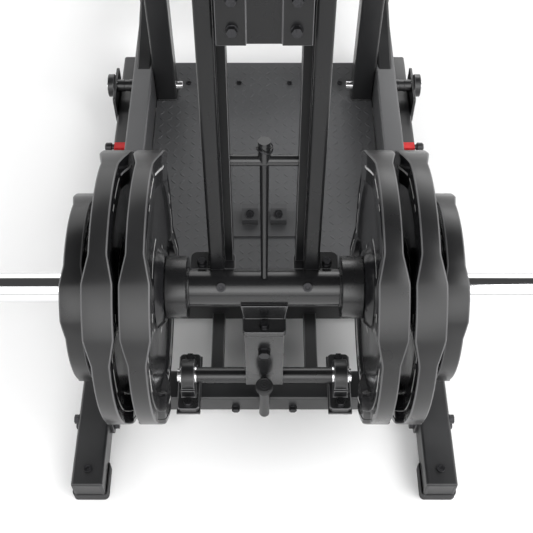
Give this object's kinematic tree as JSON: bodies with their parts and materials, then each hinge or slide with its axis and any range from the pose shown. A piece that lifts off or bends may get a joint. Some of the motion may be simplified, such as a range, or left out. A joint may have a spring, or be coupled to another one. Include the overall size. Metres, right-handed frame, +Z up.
{
  "type": "leg press machine",
  "caption": "Leg press with a rear-hinged lever, rubber weight plates on chrome side sleeves, a footplate, a tread deck and a sliding padded seat.",
  "frame": {"origin": "middle of the machine's footprint, on the floor", "axes": "+Z up, +Y from the weights towards the seat, +X to the right of someone who stands behind the weights and looks towards the seat"},
  "size_m": [1.064, 1.9671, 1.185],
  "materials": {
    "frame_paint": "black powder coat, semi-gloss",
    "lever_paint": "black gloss paint on the lever",
    "bearing_paint": "dark painted casting",
    "deck_steel": "black tread plate with raised bars",
    "bright_chrome": "polished chrome",
    "black_bolt": "black oxide bolt heads",
    "boot_rubber": "black rubber",
    "plate_rubber": "black rubber-coated weight plate",
    "grip_rubber": "ribbed black hand grip",
    "seat_vinyl": "black vinyl over foam",
    "red_block": "red anodised lock block",
    "pin_knob": "black plastic pull knob"
  },
  "bodies": {
    "base_frame": {"base_bolts": "black_bolt", "base_rails": "frame_paint", "base_screws": "black_bolt", "beam_flanges": "frame_paint", "bearing_plates": "frame_paint", "deck_beams": "frame_paint", "floor_bracket": "frame_paint", "front_foot_beam": "frame_paint", "front_legs": "frame_paint", "link_bars": "frame_paint", "lock_blocks": "red_block", "pillow_blocks": "bearing_paint", "rear_cross_beam": "frame_paint", "rubber_boots": "boot_rubber", "seat_rails": "frame_paint", "side_beams": "frame_paint", "side_hubs": "frame_paint", "side_tie_shafts": "bright_chrome", "stop_pads": "boot_rubber", "stop_posts": "frame_paint", "tread_deck": "deck_steel", "upright_grips": "grip_rubber", "uprights": "frame_paint"},
    "press_lever": {"pivot_shaft": "bright_chrome", "bearing_rings": "bright_chrome", "shaft_spacers": "lever_paint", "lever_neck": "lever_paint", "tube_saddle": "lever_paint", "weight_tube": "lever_paint", "sleeve_collars": "lever_paint", "right_sleeve": "bright_chrome", "left_sleeve": "bright_chrome", "arm_feet": "lever_paint", "right_arm": "lever_paint", "left_arm": "lever_paint", "arm_webs": "lever_paint", "crossbar": "lever_paint", "centre_stay": "lever_paint", "foot_bracket": "lever_paint", "footplate": "lever_paint", "lever_bolts": "black_bolt"},
    "seat_carriage": {"seat_sliders": "frame_paint", "carriage_frame": "frame_paint", "seat_plate": "frame_paint", "back_hinge_pin": "bright_chrome", "seat_pad": "seat_vinyl", "seat_handles": "frame_paint"},
    "seat_back": {"back_frame": "frame_paint", "back_pad": "seat_vinyl"},
    "right_plates": {"right_inner_plate": "plate_rubber", "right_outer_plate": "plate_rubber", "right_small_plate": "plate_rubber"},
    "right_seat_pull_pin": {"right_seat_pin": "pin_knob"},
    "right_lock_pull_pin": {"right_lock_pin": "pin_knob"},
    "left_plates": {"left_inner_plate": "plate_rubber", "left_outer_plate": "plate_rubber", "left_small_plate": "plate_rubber"},
    "left_seat_pull_pin": {"left_seat_pin": "pin_knob"},
    "left_lock_pull_pin": {"left_lock_pin": "pin_knob"}
  },
  "joints": [
    {"name": "lever_pivot", "type": "hinge", "parent": "base_frame", "child": "press_lever", "pos_m": [0, -0.78455, 0.107], "axis": [1, 0, 0], "range_deg": [-28, 0]},
    {"name": "right_plates_slide", "type": "slide", "parent": "press_lever", "child": "right_plates", "axis": [1, 0, 0], "range_m": [0, 0.2]},
    {"name": "left_plates_slide", "type": "slide", "parent": "press_lever", "child": "left_plates", "axis": [-1, 0, 0], "range_m": [0, 0.2]},
    {"name": "seat_slide", "type": "slide", "parent": "base_frame", "child": "seat_carriage", "axis": [0, 0.9703, 0.2419], "range_m": [0, 0.13]},
    {"name": "back_recline", "type": "hinge", "parent": "seat_carriage", "child": "seat_back", "pos_m": [0, 0.54445, 0.366], "axis": [1, 0, 0], "range_deg": [-25, 10]},
    {"name": "right_seat_pin_pull", "type": "slide", "parent": "seat_carriage", "child": "right_seat_pull_pin", "axis": [1, 0, 0], "range_m": [0, 0.01], "stiffness_N_per_m": 600, "springref_m": -0.004},
    {"name": "right_lock_pin_pull", "type": "slide", "parent": "base_frame", "child": "right_lock_pull_pin", "axis": [1, 0, 0], "range_m": [0, 0.01], "stiffness_N_per_m": 600, "springref_m": -0.004},
    {"name": "left_seat_pin_pull", "type": "slide", "parent": "seat_carriage", "child": "left_seat_pull_pin", "axis": [-1, 0, 0], "range_m": [0, 0.01], "stiffness_N_per_m": 600, "springref_m": -0.004},
    {"name": "left_lock_pin_pull", "type": "slide", "parent": "base_frame", "child": "left_lock_pull_pin", "axis": [-1, 0, 0], "range_m": [0, 0.01], "stiffness_N_per_m": 600, "springref_m": -0.004}
  ]
}
